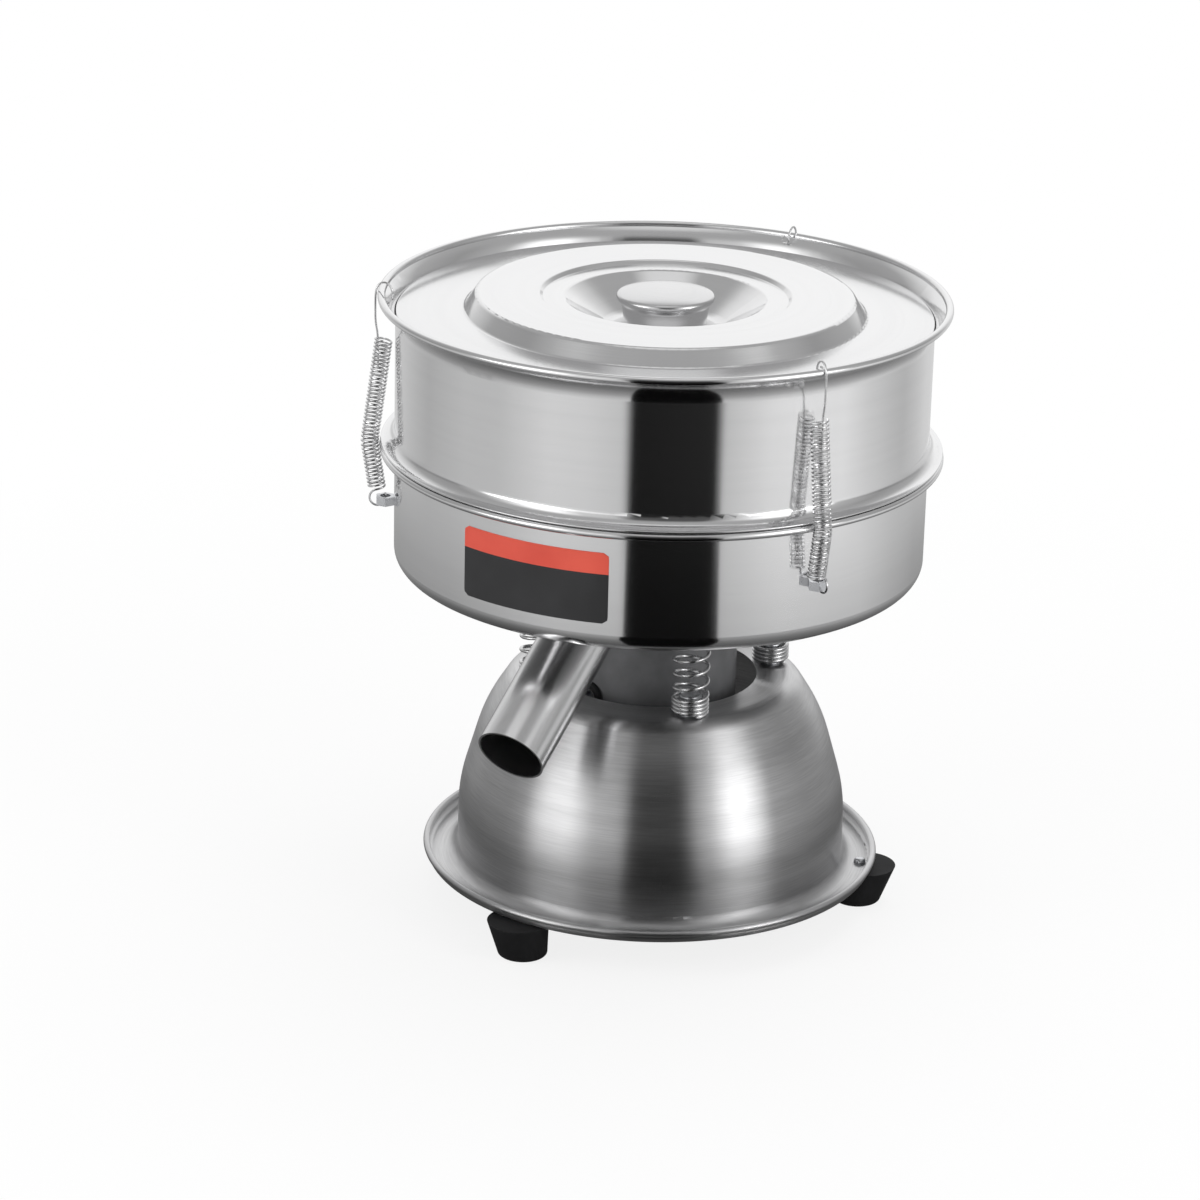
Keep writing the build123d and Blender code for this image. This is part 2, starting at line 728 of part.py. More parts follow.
with BuildPart() as gland_grommet:
    with BuildSketch(gland_plane.offset(-motor_wall)):
        Circle(gland_neck - press_gap)
    extrude(amount=2 * motor_wall)
    with BuildSketch(gland_plane.offset(curve_gap)):
        Circle(gland_flange)
    extrude(amount=gland_flange_thickness)
    gland_axis = Axis(gland_plane.origin, gland_plane.z_dir)
    fillet(gland_grommet.faces().sort_by(gland_axis)[-1].edges(), gland_flange_round)
    with BuildSketch(gland_plane):
        Circle(gland_bush + press_gap)
    extrude(amount=gland_flange, both=True, mode=Mode.SUBTRACT)
save(gland_grommet.part, "gland_grommet")

with BuildPart() as gland_bush_part:
    with BuildSketch(gland_plane.offset(-motor_wall)):
        Circle(gland_bush)
        Circle(gland_bore, mode=Mode.SUBTRACT)
    extrude(amount=motor_wall + gland_flange_thickness + curve_gap)
save(gland_bush_part.part, "gland_bush")

# Inside the motor: stator, windings, bearing brackets and bearings
stator_top = flange_bottom - stator_below_flange
stator_bottom = stator_top - stator_height
upper_bracket_bottom = stator_top + bracket_room
lower_bracket_top = stator_bottom - bracket_room

with BuildPart() as stator_core:
    with BuildSketch(Plane.XY.offset(stator_bottom)):
        Circle(housing_bore - press_gap)
        Circle(stator_bore, mode=Mode.SUBTRACT)
    extrude(amount=stator_height)
save(stator_core.part, "stator_core")

with BuildPart() as stator_windings:
    with BuildSketch(Plane.XZ):
        with Locations(
            ((winding_inner + winding_outer) / 2, stator_top + winding_height / 2),
            ((winding_inner + winding_outer) / 2, stator_bottom - winding_height / 2),
        ):
            RectangleRounded(winding_outer - winding_inner, winding_height, winding_round)
    revolve(axis=Axis.Z)
save(stator_windings.part, "stator_windings")

for name, level, rise in (
    ("upper", upper_bracket_bottom, 1),
    ("lower", lower_bracket_top, -1),
):
    with BuildPart() as bracket:
        with BuildSketch(Plane.XY.offset(level)):
            Circle(housing_bore - press_gap)
        extrude(amount=rise * bracket_thickness)
        with BuildSketch(Plane.XY.offset(level)):
            Circle(bearing_boss_radius)
        extrude(amount=rise * bearing_height)
        with BuildSketch(Plane.XY.offset(level)):
            Circle(bearing_radius + press_gap)
        extrude(amount=rise * bearing_height, mode=Mode.SUBTRACT)
    save(bracket.part, f"{name}_bearing_bracket")
    with BuildPart() as bearing:
        with BuildSketch(Plane.XY.offset(level)):
            Circle(bearing_radius)
            Circle(shaft_radius + shaft_clearance, mode=Mode.SUBTRACT)
        extrude(amount=rise * bearing_height)
    save(bearing.part, f"{name}_bearing")

# Rotor: shaft, core and a half-disc weight with a clamp screw at each end
upper_weight_level = upper_bracket_bottom + bearing_height + weight_room
lower_weight_level = lower_bracket_top - bearing_height - weight_room - weight_height
shaft_bottom = lower_weight_level - shaft_overhang
shaft_top = upper_weight_level + weight_height + shaft_overhang

with BuildPart() as motor_shaft:
    with BuildSketch(Plane.XY.offset(shaft_bottom)):
        Circle(shaft_radius)
    extrude(amount=shaft_top - shaft_bottom)
    chamfer(motor_shaft.edges().filter_by(GeomType.CIRCLE), shaft_chamfer)
save(motor_shaft.part, "motor_shaft")

with BuildPart() as rotor_core:
    with BuildSketch(Plane.XY.offset(stator_bottom)):
        Circle(stator_bore - air_gap)
        Circle(shaft_radius, mode=Mode.SUBTRACT)
    extrude(amount=stator_height)
save(rotor_core.part, "rotor_core")

for name, level in (("upper", upper_weight_level), ("lower", lower_weight_level)):
    screw_plane = Plane((0, 0, level + weight_height / 2), x_dir=(1, 0, 0), z_dir=(0, -1, 0))
    with BuildPart() as weight:
        with BuildSketch(Plane.XY.offset(level)):
            Circle(weight_radius)
            with Locations((0, -weight_radius)):
                Rectangle(2 * weight_radius, 2 * weight_radius, mode=Mode.SUBTRACT)
            Circle(weight_hub)
            Circle(shaft_radius, mode=Mode.SUBTRACT)
        extrude(amount=weight_height)
        with BuildSketch(screw_plane.offset(shaft_radius)):
            Circle(weight_screw_radius)
        extrude(amount=weight_hub, mode=Mode.SUBTRACT)
    save(weight.part, f"{name}_eccentric_weight")
    with BuildPart() as weight_screw:
        with BuildSketch(screw_plane.offset(shaft_radius)):
            Circle(weight_screw_radius)
        extrude(amount=weight_hub - shaft_radius)
        with BuildSketch(screw_plane.offset(weight_hub)):
            Circle(weight_screw_head)
        extrude(amount=weight_screw_head_height)
    save(weight_screw.part, f"{name}_weight_screw")
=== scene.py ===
import json
import math

import bpy
import numpy as np
from mathutils import Matrix, Vector


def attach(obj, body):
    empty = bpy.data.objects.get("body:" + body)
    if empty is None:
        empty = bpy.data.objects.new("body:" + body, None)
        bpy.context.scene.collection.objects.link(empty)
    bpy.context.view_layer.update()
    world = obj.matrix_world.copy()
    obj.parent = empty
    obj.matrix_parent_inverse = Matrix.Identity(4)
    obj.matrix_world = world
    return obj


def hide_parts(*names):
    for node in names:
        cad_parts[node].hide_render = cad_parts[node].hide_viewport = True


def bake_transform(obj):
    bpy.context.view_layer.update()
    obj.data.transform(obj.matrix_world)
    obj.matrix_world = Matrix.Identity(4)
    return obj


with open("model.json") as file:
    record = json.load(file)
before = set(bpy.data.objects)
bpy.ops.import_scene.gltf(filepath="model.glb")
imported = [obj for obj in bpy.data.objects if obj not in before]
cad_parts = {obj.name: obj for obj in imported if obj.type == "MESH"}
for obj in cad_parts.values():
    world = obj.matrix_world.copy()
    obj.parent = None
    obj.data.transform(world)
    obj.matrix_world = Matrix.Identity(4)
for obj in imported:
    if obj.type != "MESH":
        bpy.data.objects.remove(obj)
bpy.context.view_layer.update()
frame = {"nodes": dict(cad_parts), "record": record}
mm = 0.001
scene = bpy.context.scene
scene.view_settings.view_transform = "Standard"
print("frame loaded:", len(frame["nodes"]), "nodes")

# Camera: where the photographer stood, worked out from the rims of drum, pan and base
cameraSet = {
    "azimuth": -107.0,  # degrees, seen from the drum's axis
    "distance": 2.1848,
    "height": 0.9831,
    "yaw": 0.854,
    "pitch": 20.241,
    "roll": 1.407,
    "lens": 121.57,
}


def placeCamera(values):
    azimuth = math.radians(values["azimuth"])
    heading = azimuth + math.pi + math.radians(values["yaw"])
    pitch = math.radians(values["pitch"])
    roll = math.radians(values["roll"])
    forward = Vector((
        math.cos(pitch) * math.cos(heading),
        math.cos(pitch) * math.sin(heading),
        -math.sin(pitch),
    ))
    level = Vector((math.sin(heading), -math.cos(heading), 0.0))
    upright = level.cross(forward)
    right = level * math.cos(roll) + upright * math.sin(roll)
    up = upright * math.cos(roll) - level * math.sin(roll)
    data = bpy.data.cameras.new("photoCamera")
    data.lens = values["lens"]
    data.sensor_width = 36.0
    data.clip_end = 50.0
    camera = bpy.data.objects.new("photoCamera", data)
    spot = (
        values["distance"] * math.cos(azimuth),
        values["distance"] * math.sin(azimuth),
        values["height"],
    )
    turn = Matrix((right, up, -forward)).transposed().to_4x4()
    camera.matrix_world = Matrix.Translation(spot) @ turn
    scene.collection.objects.link(camera)
    scene.camera = camera


placeCamera(cameraSet)
print("camera placed")


# Small helpers for node trees
def addNode(tree, kind, **settings):
    node = tree.nodes.new(kind)
    for name, value in settings.items():
        setattr(node, name, value)
    return node


def mathNode(tree, operation, first, second=None):
    node = addNode(tree, "ShaderNodeMath", operation=operation)
    for socket, value in zip(node.inputs, (first, second)):
        if value is None:
            continue
        if isinstance(value, (int, float)):
            socket.default_value = value
        else:
            tree.links.new(value, socket)
    return node.outputs[0]


def startGroup(name, inputs, outputs):
    tree = bpy.data.node_groups.new(name, "ShaderNodeTree")
    for label, value in inputs:
        socket = tree.interface.new_socket(label, in_out="INPUT", socket_type="NodeSocketFloat")
        socket.default_value = value
    for label, kind in outputs:
        tree.interface.new_socket(label, in_out="OUTPUT", socket_type=kind)
    return tree, tree.nodes.new("NodeGroupInput"), tree.nodes.new("NodeGroupOutput")


def spunGroup():
    # Fine rings left by spinning and polishing, round the vertical axis
    climb, spread = 0.8, 0.6  # how fast the rings follow each other up and outwards
    broadScale = 0.045
    tree, source, result = startGroup(
        "spunLines",
        [("Fineness", 900.0), ("Around", 1.2)],
        [("Lines", "NodeSocketFloat"), ("Broad", "NodeSocketFloat")],
    )
    place = addNode(tree, "ShaderNodeTexCoord")
    split = addNode(tree, "ShaderNodeSeparateXYZ")
    tree.links.new(place.outputs["Object"], split.inputs[0])
    x, y, z = split.outputs
    squares = mathNode(tree, "ADD", mathNode(tree, "MULTIPLY", x, x), mathNode(tree, "MULTIPLY", y, y))
    reach = mathNode(tree, "SQRT", squares)
    turnX = mathNode(tree, "DIVIDE", x, reach)
    turnY = mathNode(tree, "DIVIDE", y, reach)
    rise = mathNode(tree, "MULTIPLY", z, climb)
    along = mathNode(tree, "ADD", rise, mathNode(tree, "MULTIPLY", reach, spread))
    ring = addNode(tree, "ShaderNodeCombineXYZ")
    tree.links.new(mathNode(tree, "MULTIPLY", turnX, source.outputs["Around"]), ring.inputs[0])
    tree.links.new(mathNode(tree, "MULTIPLY", turnY, source.outputs["Around"]), ring.inputs[1])
    tree.links.new(mathNode(tree, "MULTIPLY", along, source.outputs["Fineness"]), ring.inputs[2])
    fine = addNode(tree, "ShaderNodeTexNoise")
    fine.inputs["Scale"].default_value = 1.0
    fine.inputs["Detail"].default_value = 4.0
    tree.links.new(ring.outputs[0], fine.inputs["Vector"])
    broad = addNode(tree, "ShaderNodeTexNoise")
    broad.inputs["Scale"].default_value = broadScale
    broad.inputs["Detail"].default_value = 2.0
    tree.links.new(ring.outputs[0], broad.inputs["Vector"])
    tree.links.new(fine.outputs["Fac"], result.inputs["Lines"])
    tree.links.new(broad.outputs["Fac"], result.inputs["Broad"])
    return tree


def grainGroup():
    # Cloudy patches and fine speckle, for smudges, dust, paint and rubber
    tree, source, result = startGroup(
        "cloudyGrain",
        [("Cloud Scale", 18.0), ("Speckle Scale", 900.0)],
        [("Cloud", "NodeSocketFloat"), ("Speckle", "NodeSocketFloat")],
    )
    place = addNode(tree, "ShaderNodeTexCoord")
    for label, scale, detail in (("Cloud", "Cloud Scale", 5.0), ("Speckle", "Speckle Scale", 2.0)):
        noise = addNode(tree, "ShaderNodeTexNoise")
        noise.inputs["Detail"].default_value = detail
        tree.links.new(place.outputs["Object"], noise.inputs["Vector"])
        tree.links.new(source.outputs[scale], noise.inputs["Scale"])
        tree.links.new(noise.outputs["Fac"], result.inputs[label])
    return tree


def wearGroup():
    # Edges rubbed bright: pointiness of the mesh, broken up by cloudy noise
    edgeRange = (("From Min", 0.52), ("From Max", 0.62))
    tree, source, result = startGroup(
        "edgeWear",
        [("Amount", 1.0), ("Scale", 60.0)],
        [("Wear", "NodeSocketFloat")],
    )
    shape = addNode(tree, "ShaderNodeNewGeometry")
    place = addNode(tree, "ShaderNodeTexCoord")
    noise = addNode(tree, "ShaderNodeTexNoise")
    noise.inputs["Detail"].default_value = 4.0
    tree.links.new(place.outputs["Object"], noise.inputs["Vector"])
    tree.links.new(source.outputs["Scale"], noise.inputs["Scale"])
    edge = addNode(tree, "ShaderNodeMapRange")
    for name, value in edgeRange:
        edge.inputs[name].default_value = value
    tree.links.new(shape.outputs["Pointiness"], edge.inputs["Value"])
    broken = mathNode(tree, "MULTIPLY", edge.outputs[0], noise.outputs["Fac"])
    tree.links.new(mathNode(tree, "MULTIPLY", broken, source.outputs["Amount"]), result.inputs["Wear"])
    return tree


spunLines = spunGroup()
cloudyGrain = grainGroup()
edgeWear = wearGroup()
print("shared effects made")


def useGroup(tree, group, **values):
    node = tree.nodes.new("ShaderNodeGroup")
    node.node_tree = group
    for name, value in values.items():
        node.inputs[name].default_value = value
    return node


def rampOf(tree, factor, stops):
    ramp = tree.nodes.new("ShaderNodeValToRGB")
    tree.links.new(factor, ramp.inputs["Fac"])
    elements = ramp.color_ramp.elements
    while len(elements) < len(stops):
        elements.new(0.5)
    for element, (spot, colour) in zip(elements, stops):
        element.position = spot
        element.color = (*colour, 1.0) if len(colour) == 3 else colour
    return ramp.outputs["Color"]


def rangeOf(tree, value, low, high):
    # Spreads the middle of a noise over a wanted range
    node = tree.nodes.new("ShaderNodeMapRange")
    node.inputs["From Min"].default_value = 0.3
    node.inputs["From Max"].default_value = 0.7
    node.inputs["To Min"].default_value = low
    node.inputs["To Max"].default_value = high
    tree.links.new(value, node.inputs["Value"])
    return node.outputs[0]


def startMaterial(name, **plain):
    material = bpy.data.materials.new(name)
    material.use_nodes = True
    tree = material.node_tree
    shader = tree.nodes["Principled BSDF"]
    for label, value in plain.items():
        shader.inputs[label.replace("_", " ")].default_value = value
    return material, tree, shader


def bumpInto(tree, shader, height, strength, distance):
    bump = tree.nodes.new("ShaderNodeBump")
    bump.inputs["Strength"].default_value = strength
    bump.inputs["Distance"].default_value = distance
    tree.links.new(height, bump.inputs["Height"])
    tree.links.new(bump.outputs[0], shader.inputs["Normal"])


def steelMaterial(name, values):
    material, tree, shader = startMaterial(
        name, Metallic=1.0, Anisotropic=values["stretch"], Anisotropic_Rotation=0.25
    )
    lines = useGroup(tree, spunLines, Fineness=values["fineness"], Around=values["around"])
    cloud = useGroup(tree, cloudyGrain, **{"Cloud Scale": values["cloud"]})
    low, high = values["colour"]
    sheen = mathNode(tree, "ADD", lines.outputs["Broad"], lines.outputs["Lines"])
    colour = rampOf(tree, mathNode(tree, "MULTIPLY", sheen, 0.5), [(0.35, low), (0.65, high)])
    tree.links.new(colour, shader.inputs["Base Color"])
    rough = mathNode(
        tree,
        "ADD",
        rangeOf(tree, cloud.outputs["Cloud"], *values["rough"]),
        rangeOf(tree, lines.outputs["Lines"], 0.0, values["lineRough"]),
    )
    tree.links.new(rough, shader.inputs["Roughness"])
    bumpInto(tree, shader, lines.outputs["Lines"], values["bump"], values["depth"])
    return material


def grainMaterial(name, values):
    material, tree, shader = startMaterial(
        name, Metallic=values.get("metal", 0.0), Specular_IOR_Level=values.get("sheen", 0.5)
    )
    grain = useGroup(
        tree,
        cloudyGrain,
        **{"Cloud Scale": values["cloud"], "Speckle Scale": values["speckle"]},
    )
    low, high = values["colour"]
    colour = rampOf(tree, grain.outputs["Cloud"], [(0.3, low), (0.7, high)])
    if "worn" in values:
        wear = useGroup(tree, edgeWear, Amount=values["wearAmount"])
        mix = tree.nodes.new("ShaderNodeMix")
        mix.data_type = "RGBA"
        mix.inputs["B"].default_value = (*values["worn"], 1.0)
        tree.links.new(wear.outputs["Wear"], mix.inputs["Factor"])
        tree.links.new(colour, mix.inputs["A"])
        colour = mix.outputs["Result"]
    tree.links.new(colour, shader.inputs["Base Color"])
    tree.links.new(rangeOf(tree, grain.outputs["Cloud"], *values["rough"]), shader.inputs["Roughness"])
    bumpInto(tree, shader, grain.outputs["Speckle"], values["bump"], values["depth"])
    return material


# Finishes, one for each material slot, and a brushed one for spout and knob
finishes = {
    "polished_steel": steelMaterial("polishedSteel", {
        "colour": [(0.80, 0.80, 0.805), (0.83, 0.83, 0.835)],
        "fineness": 4200.0, "around": 0.7, "cloud": 9.0,
        "rough": (0.105, 0.13), "lineRough": 0.015, "bump": 0.02, "depth": 0.00003, "stretch": 0.9,
    }),
    "satin_steel": steelMaterial("satinSteel", {
        "colour": [(0.49, 0.49, 0.495), (0.66, 0.66, 0.665)],
        "fineness": 2600.0, "around": 5.0, "cloud": 22.0,
        "rough": (0.27, 0.31), "lineRough": 0.03, "bump": 0.04, "depth": 0.00004, "stretch": 0.92,
    }),
    "brushed_steel": steelMaterial("brushedSteel", {
        "colour": [(0.70, 0.70, 0.705), (0.76, 0.76, 0.765)],
        "fineness": 7000.0, "around": 2.0, "cloud": 30.0,
        "rough": (0.16, 0.21), "lineRough": 0.04, "bump": 0.06, "depth": 0.00005, "stretch": 0.0,
    }),
    "spring_steel": grainMaterial("springWire", {
        "colour": [(0.76, 0.76, 0.765), (0.86, 0.86, 0.865)], "metal": 1.0,
        "cloud": 120.0, "speckle": 2500.0, "rough": (0.20, 0.30), "bump": 0.06, "depth": 0.0001,
    }),
    "zinc_steel": grainMaterial("zincPlate", {
        "colour": [(0.60, 0.61, 0.63), (0.72, 0.73, 0.75)], "metal": 1.0,
        "cloud": 90.0, "speckle": 1800.0, "rough": (0.20, 0.34), "bump": 0.10, "depth": 0.0001,
    }),
    "black_rubber": grainMaterial("blackRubber", {
        "colour": [(0.007, 0.007, 0.0075), (0.014, 0.014, 0.015)], "sheen": 0.3,
        "worn": (0.05, 0.05, 0.052), "wearAmount": 0.3,
        "cloud": 60.0, "speckle": 1500.0, "rough": (0.55, 0.72), "bump": 0.25, "depth": 0.0003,
    }),
    "grey_paint": grainMaterial("greyPaint", {
        "colour": [(0.085, 0.087, 0.09), (0.11, 0.113, 0.116)],
        "worn": (0.30, 0.30, 0.31), "wearAmount": 0.6,
        "cloud": 30.0, "speckle": 1100.0, "rough": (0.34, 0.46), "bump": 0.12, "depth": 0.0002,
    }),
    "silicone": grainMaterial("whiteSilicone", {
        "colour": [(0.70, 0.70, 0.68), (0.80, 0.80, 0.78)],
        "cloud": 40.0, "speckle": 900.0, "rough": (0.45, 0.6), "bump": 0.10, "depth": 0.0002,
    }),
    "core_steel": grainMaterial("coreIron", {
        "colour": [(0.20, 0.20, 0.21), (0.32, 0.32, 0.33)], "metal": 0.9,
        "cloud": 70.0, "speckle": 700.0, "rough": (0.4, 0.6), "bump": 0.25, "depth": 0.0003,
    }),
    "shaft_steel": grainMaterial("groundSteel", {
        "colour": [(0.58, 0.58, 0.59), (0.68, 0.68, 0.69)], "metal": 1.0,
        "cloud": 80.0, "speckle": 2200.0, "rough": (0.2, 0.3), "bump": 0.08, "depth": 0.0001,
    }),
    "copper_wire": grainMaterial("copperWinding", {
        "colour": [(0.50, 0.20, 0.08), (0.68, 0.32, 0.14)], "metal": 0.9,
        "cloud": 200.0, "speckle": 1200.0, "rough": (0.3, 0.45), "bump": 0.5, "depth": 0.0006,
    }),
}


def wireClothMaterial():
    # Plain weave: two sets of fine wires that pass over and under each other; the openings and low
    # parts of the weave are painted dark as shade seen through and between the wires
    weaveSet = {
        "pitch": 1.4 * mm,
        "wire": (0.66, 0.66, 0.67),
        # Painted shade: colour of the openings and low parts of the weave
        "gap": (0.05, 0.05, 0.052),
        "overlap": 0.35,
        "rough": 0.32,
        "bump": 0.6,
        "depth": 0.3 * mm,
    }
    material, tree, shader = startMaterial("wireCloth", Metallic=1.0, Roughness=weaveSet["rough"])
    place = addNode(tree, "ShaderNodeTexCoord")
    split = addNode(tree, "ShaderNodeSeparateXYZ")
    tree.links.new(place.outputs["Object"], split.inputs[0])
    turns = math.pi / weaveSet["pitch"]
    waves = [
        mathNode(tree, "SINE", mathNode(tree, "MULTIPLY", axis, turns)) for axis in split.outputs[:2]
    ]
    rises = [mathNode(tree, "ABSOLUTE", wave) for wave in waves]
    under = mathNode(tree, "MULTIPLY", waves[0], waves[1])
    over = mathNode(tree, "MULTIPLY", under, weaveSet["overlap"])
    height = mathNode(tree, "ADD", mathNode(tree, "MAXIMUM", *rises), over)
    # Painted shade: the low parts of the weave take the dark gap colour
    colour = rampOf(tree, height, [(0.45, weaveSet["gap"]), (0.75, weaveSet["wire"])])
    tree.links.new(colour, shader.inputs["Base Color"])
    bumpInto(tree, shader, height, weaveSet["bump"], weaveSet["depth"])
    return material


finishes["wire_cloth"] = wireClothMaterial()

brushedNodes = {"outlet_spout": "brushed_steel"}  # less polished than its slot
slotOf = {row["node"]: row["material_slot"] for row in frame["record"]["subparts"]}
for node, thing in frame["nodes"].items():
    thing.data.materials.clear()
    thing.data.materials.append(finishes[brushedNodes.get(node, slotOf[node])])
print("finishes laid on the metal parts")


# Meshes built in code
def addMesh(name, points, faces, material, sharp=40.0):
    mesh = bpy.data.meshes.new(name)
    mesh.from_pydata([tuple(p) for p in points], [], faces)
    mesh.update()
    mesh.materials.append(material)
    mesh.polygons.foreach_set("use_smooth", [True] * len(mesh.polygons))
    mesh.set_sharp_from_angle(angle=math.radians(sharp))
    thing = bpy.data.objects.new(name, mesh)
    scene.collection.objects.link(thing)
    return thing


def wireMesh(name, path, radius, sides, material):
    # Round wire along a path, with its ends drawn in
    endShare = 0.6
    path = np.array(path)
    along = np.gradient(path, axis=0)
    along /= np.linalg.norm(along, axis=1)[:, None]
    side = np.cross(along[0], (0.3, 0.5, 0.81))
    side /= np.linalg.norm(side)
    points, rings = [], []
    last = len(path) - 1
    for index, (spot, way) in enumerate(zip(path, along)):
        side = side - way * side.dot(way)
        side /= np.linalg.norm(side)
        other = np.cross(way, side)
        grow = radius * (endShare if index in (0, last) else 1.0)
        rings.append(len(points))
        for k in range(sides):
            turn = 2 * math.pi * k / sides
            points.append(spot + (side * math.cos(turn) + other * math.sin(turn)) * grow)
    faces = []
    for first, second in zip(rings, rings[1:]):
        for k in range(sides):
            n = (k + 1) % sides
            faces.append((first + k, first + n, second + n, second + k))
    faces.append(tuple(range(sides - 1, -1, -1)))
    faces.append(tuple(rings[-1] + k for k in range(sides)))
    return addMesh(name, points, faces, material)


def turned(points, degrees):
    turn = math.radians(degrees)
    c, s = math.cos(turn), math.sin(turn)
    points = np.array(points)
    return np.stack(
        [points[:, 0] * c - points[:, 1] * s, points[:, 0] * s + points[:, 1] * c, points[:, 2]], 1
    )


# Support springs: closed turns at both ends, open turns between
supportSet = {
    "angles": (0, 90, 180, 270),
    "centre": 70.0 * mm,
    "bottom": 136.0 * mm,
    "top": 201.7 * mm,
    "radius": 9.7 * mm,
    "wire": 1.1 * mm,
    "closedPitch": 2.26 * mm,
    "turns": (4, 6, 2),  # closed below, open, closed above
    "stretch": (0.1455, 0.1965),  # heights in metres between the spring's ends
    "perTurn": 36,
    "sides": 12,
}


def supportSpring(values):
    below, free, above = values["turns"]
    wire, pitch = values["wire"], values["closedPitch"]
    room = values["top"] - values["bottom"] - 2 * wire
    openPitch = (room - (below + above) * pitch) / free
    count = (below + free + above) * values["perTurn"]
    turns = np.arange(count + 1) / values["perTurn"]
    climb = np.where((turns > below) & (turns < below + free), openPitch, pitch)
    window = values["perTurn"] // 2  # the pitch changes over half a turn
    half = window // 2
    padded = np.pad(climb, half, mode="edge")
    climb = np.convolve(padded, np.ones(window) / window, mode="same")[half:-half]
    rise = np.concatenate([[0.0], np.cumsum(climb[:-1])]) / values["perTurn"]
    rise *= room / rise[-1]
    angle = turns * 2 * math.pi
    return np.stack(
        [
            values["centre"] + values["radius"] * np.cos(angle),
            values["radius"] * np.sin(angle),
            values["bottom"] + wire + rise,
        ],
        1,
    )


supportPath = supportSpring(supportSet)
for number, angle in enumerate(supportSet["angles"], 1):
    spring = wireMesh(
        f"supportSpring{number}",
        turned(supportPath, angle),
        supportSet["wire"],
        supportSet["sides"],
        finishes["spring_steel"],
    )
    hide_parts(f"support_spring_{number}")
    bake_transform(spring)
print("support springs wound")

# Clamp springs: side loop through the eye nut, coil bent over the pan's rim
clampSet = {
    "angles": (45, 165, 285),
    "loopCentre": (160.15 * mm, 4.65 * mm, 239.35 * mm),
    "loopRadius": 4.7 * mm,
    "loopStart": 300.0,  # degrees of loop before the coil
    "loopSteps": 60,
    "middleSteps": 800,
    "bend": (165.2 * mm, 271.6 * mm),  # radius and height where the coil bends
    "top": (157.4 * mm, 331.6 * mm),
    "radius": 4.65 * mm,
    "wire": 0.6 * mm,
    "pitch": 2.2 * mm,
    "softness": 7.0 * mm,
    "stretch": (0.246, 0.3316),
    "perTurn": 28,
    "sides": 8,
}


def clampSpring(values):
    loop = np.array(values["loopCentre"])
    bend = np.array((values["bend"][0], 0.0, values["bend"][1]))
    top = np.array((values["top"][0], 0.0, values["top"][1]))
    start = np.array((loop[0], 0.0, loop[2]))
    way = (bend - start) / np.linalg.norm(bend - start)
    across = np.array((way[2], 0.0, -way[0]))
    foot = start + way * values["loopRadius"]
    turn = np.radians(np.linspace(values["loopStart"], 0.0, values["loopSteps"]))[:, None]
    side = loop + (way * np.cos(turn) + across * np.sin(turn)) * values["loopRadius"]
    # Middle line of the coil: two straight legs with a soft bend
    lengths = (np.linalg.norm(bend - foot), np.linalg.norm(top - bend))
    total = sum(lengths)
    steps = np.linspace(0, total, values["middleSteps"])
    middle = np.where(
        (steps < lengths[0])[:, None],
        foot + way * steps[:, None],
        bend + (top - bend) / lengths[1] * (steps - lengths[0])[:, None],
    )
    window = max(3, int(values["softness"] / steps[1]) | 1)
    half = window // 2
    padded = np.concatenate([
        2 * middle[:1] - middle[half:0:-1], middle, 2 * middle[-1:] - middle[-2:-half - 2:-1]
    ])
    kernel = np.hanning(window + 2)[1:-1]
    kernel /= kernel.sum()
    middle = np.stack([np.convolve(padded[:, k], kernel, mode="valid") for k in range(3)], 1)
    ways = np.gradient(middle, axis=0)
    ways /= np.linalg.norm(ways, axis=1)[:, None]
    turns = round(total / values["pitch"])
    count = turns * values["perTurn"]
    spots = np.linspace(0, total, count + 1)
    line = np.stack([np.interp(spots, steps, middle[:, k]) for k in range(3)], 1)
    lean = np.stack([np.interp(spots, steps, ways[:, k]) for k in range(3)], 1)
    out = np.stack([lean[:, 2], np.zeros(count + 1), -lean[:, 0]], 1)
    angle = np.arange(count + 1) / values["perTurn"] * 2 * math.pi + math.pi / 2
    tangent = np.array((0.0, 1.0, 0.0))
    reach = values["radius"]
    coil = line + reach * (out * np.cos(angle)[:, None] + tangent * np.sin(angle)[:, None])
    return np.concatenate([side, coil[1:]])


clampPath = clampSpring(clampSet)
for number, angle in enumerate(clampSet["angles"], 1):
    coil = wireMesh(
        f"clampSpring{number}",
        turned(clampPath, angle),
        clampSet["wire"],
        clampSet["sides"],
        finishes["spring_steel"],
    )
    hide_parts(f"clamp_spring_{number}")
    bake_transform(coil)
print("clamp springs wound")

# Hooks: the same wire goes up from the coil, over the rim, and ends in a small curl
hookSet = {
    "leg": (  # radius, sideways, height
        (160.6, 0.0, 314.0), (160.6, 0.0, 322.0), (160.6, 0.0, 330.0), (161.0, 0.0, 336.0),
        (162.1, 0.0, 342.0), (162.2, 0.0, 350.0), (162.2, 0.0, 357.0), (161.4, 0.0, 361.6),
        (159.3, 0.0, 364.2), (156.4, 0.0, 364.5), (154.0, 0.1, 362.6), (152.8, 0.3, 359.8),
    ),
    "curlCentre": (152.6, 2.3, 357.6),
    "curlRadius": 2.1,
    "curlFrom": 150.0,  # degrees
    "curlTurn": 290.0,
    "curlSteps": 16,
    "curlDrift": 0.25,  # inwards over the curl
    "rounds": 2,
    "wire": 0.6 * mm,
    "sides": 10,
}


def softened(points, rounds):
    # Cuts the corners of a line until it is smooth
    points = np.array(points, float)
    for _ in range(rounds):
        first, second = points[:-1], points[1:]
        cut = np.stack([0.75 * first + 0.25 * second, 0.25 * first + 0.75 * second], 1)
        points = np.concatenate([points[:1], cut.reshape(-1, 3), points[-1:]])
    return points


